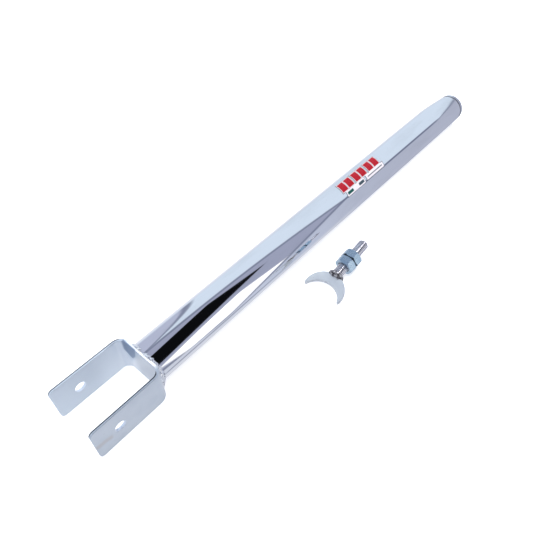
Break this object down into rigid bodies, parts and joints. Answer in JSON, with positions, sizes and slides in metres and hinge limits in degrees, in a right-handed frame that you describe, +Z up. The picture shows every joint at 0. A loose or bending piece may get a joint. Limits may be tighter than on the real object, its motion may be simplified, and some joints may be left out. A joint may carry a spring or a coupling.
{
  "type": "side stand leg",
  "caption": "Chromed tube leg with a welded U clevis to hang it on a pivot bolt, laid beside its loose adjustable stop on a threaded stud.",
  "frame": {"origin": "centre of the clevis web's inner face", "axes": "+X along the leg towards the foot, +Y along the pivot bolt's axis, +Z up, square to the side the stand lies on"},
  "size_m": [0.4335, 0.0743, 0.0282],
  "materials": {
    "leg_chrome": "mirror chrome plate",
    "clevis_plate": "satin bright plate",
    "weld_plate": "plated weld bead",
    "plug_chrome": "chrome plate over a ground plug",
    "decal_print": "gloss printed film",
    "stop_plate": "satin zinc plate",
    "stop_weld_steel": "rough weld, dark from heat",
    "stud_zinc": "bright zinc thread",
    "nut_zinc": "blue passivated zinc"
  },
  "bodies": {
    "leg": {"leg_tube": "leg_chrome", "clevis_bracket": "clevis_plate", "left_clevis_weld": "weld_plate", "right_clevis_weld": "weld_plate", "foot_plug": "plug_chrome", "leg_decal": "decal_print"},
    "stop": {"stop_crescent": "stop_plate", "stop_weld": "stop_weld_steel", "stop_stud": "stud_zinc"},
    "inner_nut": {"inner_nut": "nut_zinc"},
    "outer_nut": {"outer_nut": "nut_zinc"}
  },
  "joints": [
    {"name": "stop_lift", "type": "slide", "parent": "leg", "child": "stop", "axis": [0, 0, 1], "range_m": [0, 0.06]},
    {"name": "inner_nut_run", "type": "slide", "parent": "stop", "child": "inner_nut", "axis": [0.9825, 0, 0.1861], "range_m": [-0.0055, 0]},
    {"name": "outer_nut_run", "type": "slide", "parent": "stop", "child": "outer_nut", "axis": [0.9825, 0, 0.1861], "range_m": [0, 0.0125]}
  ]
}
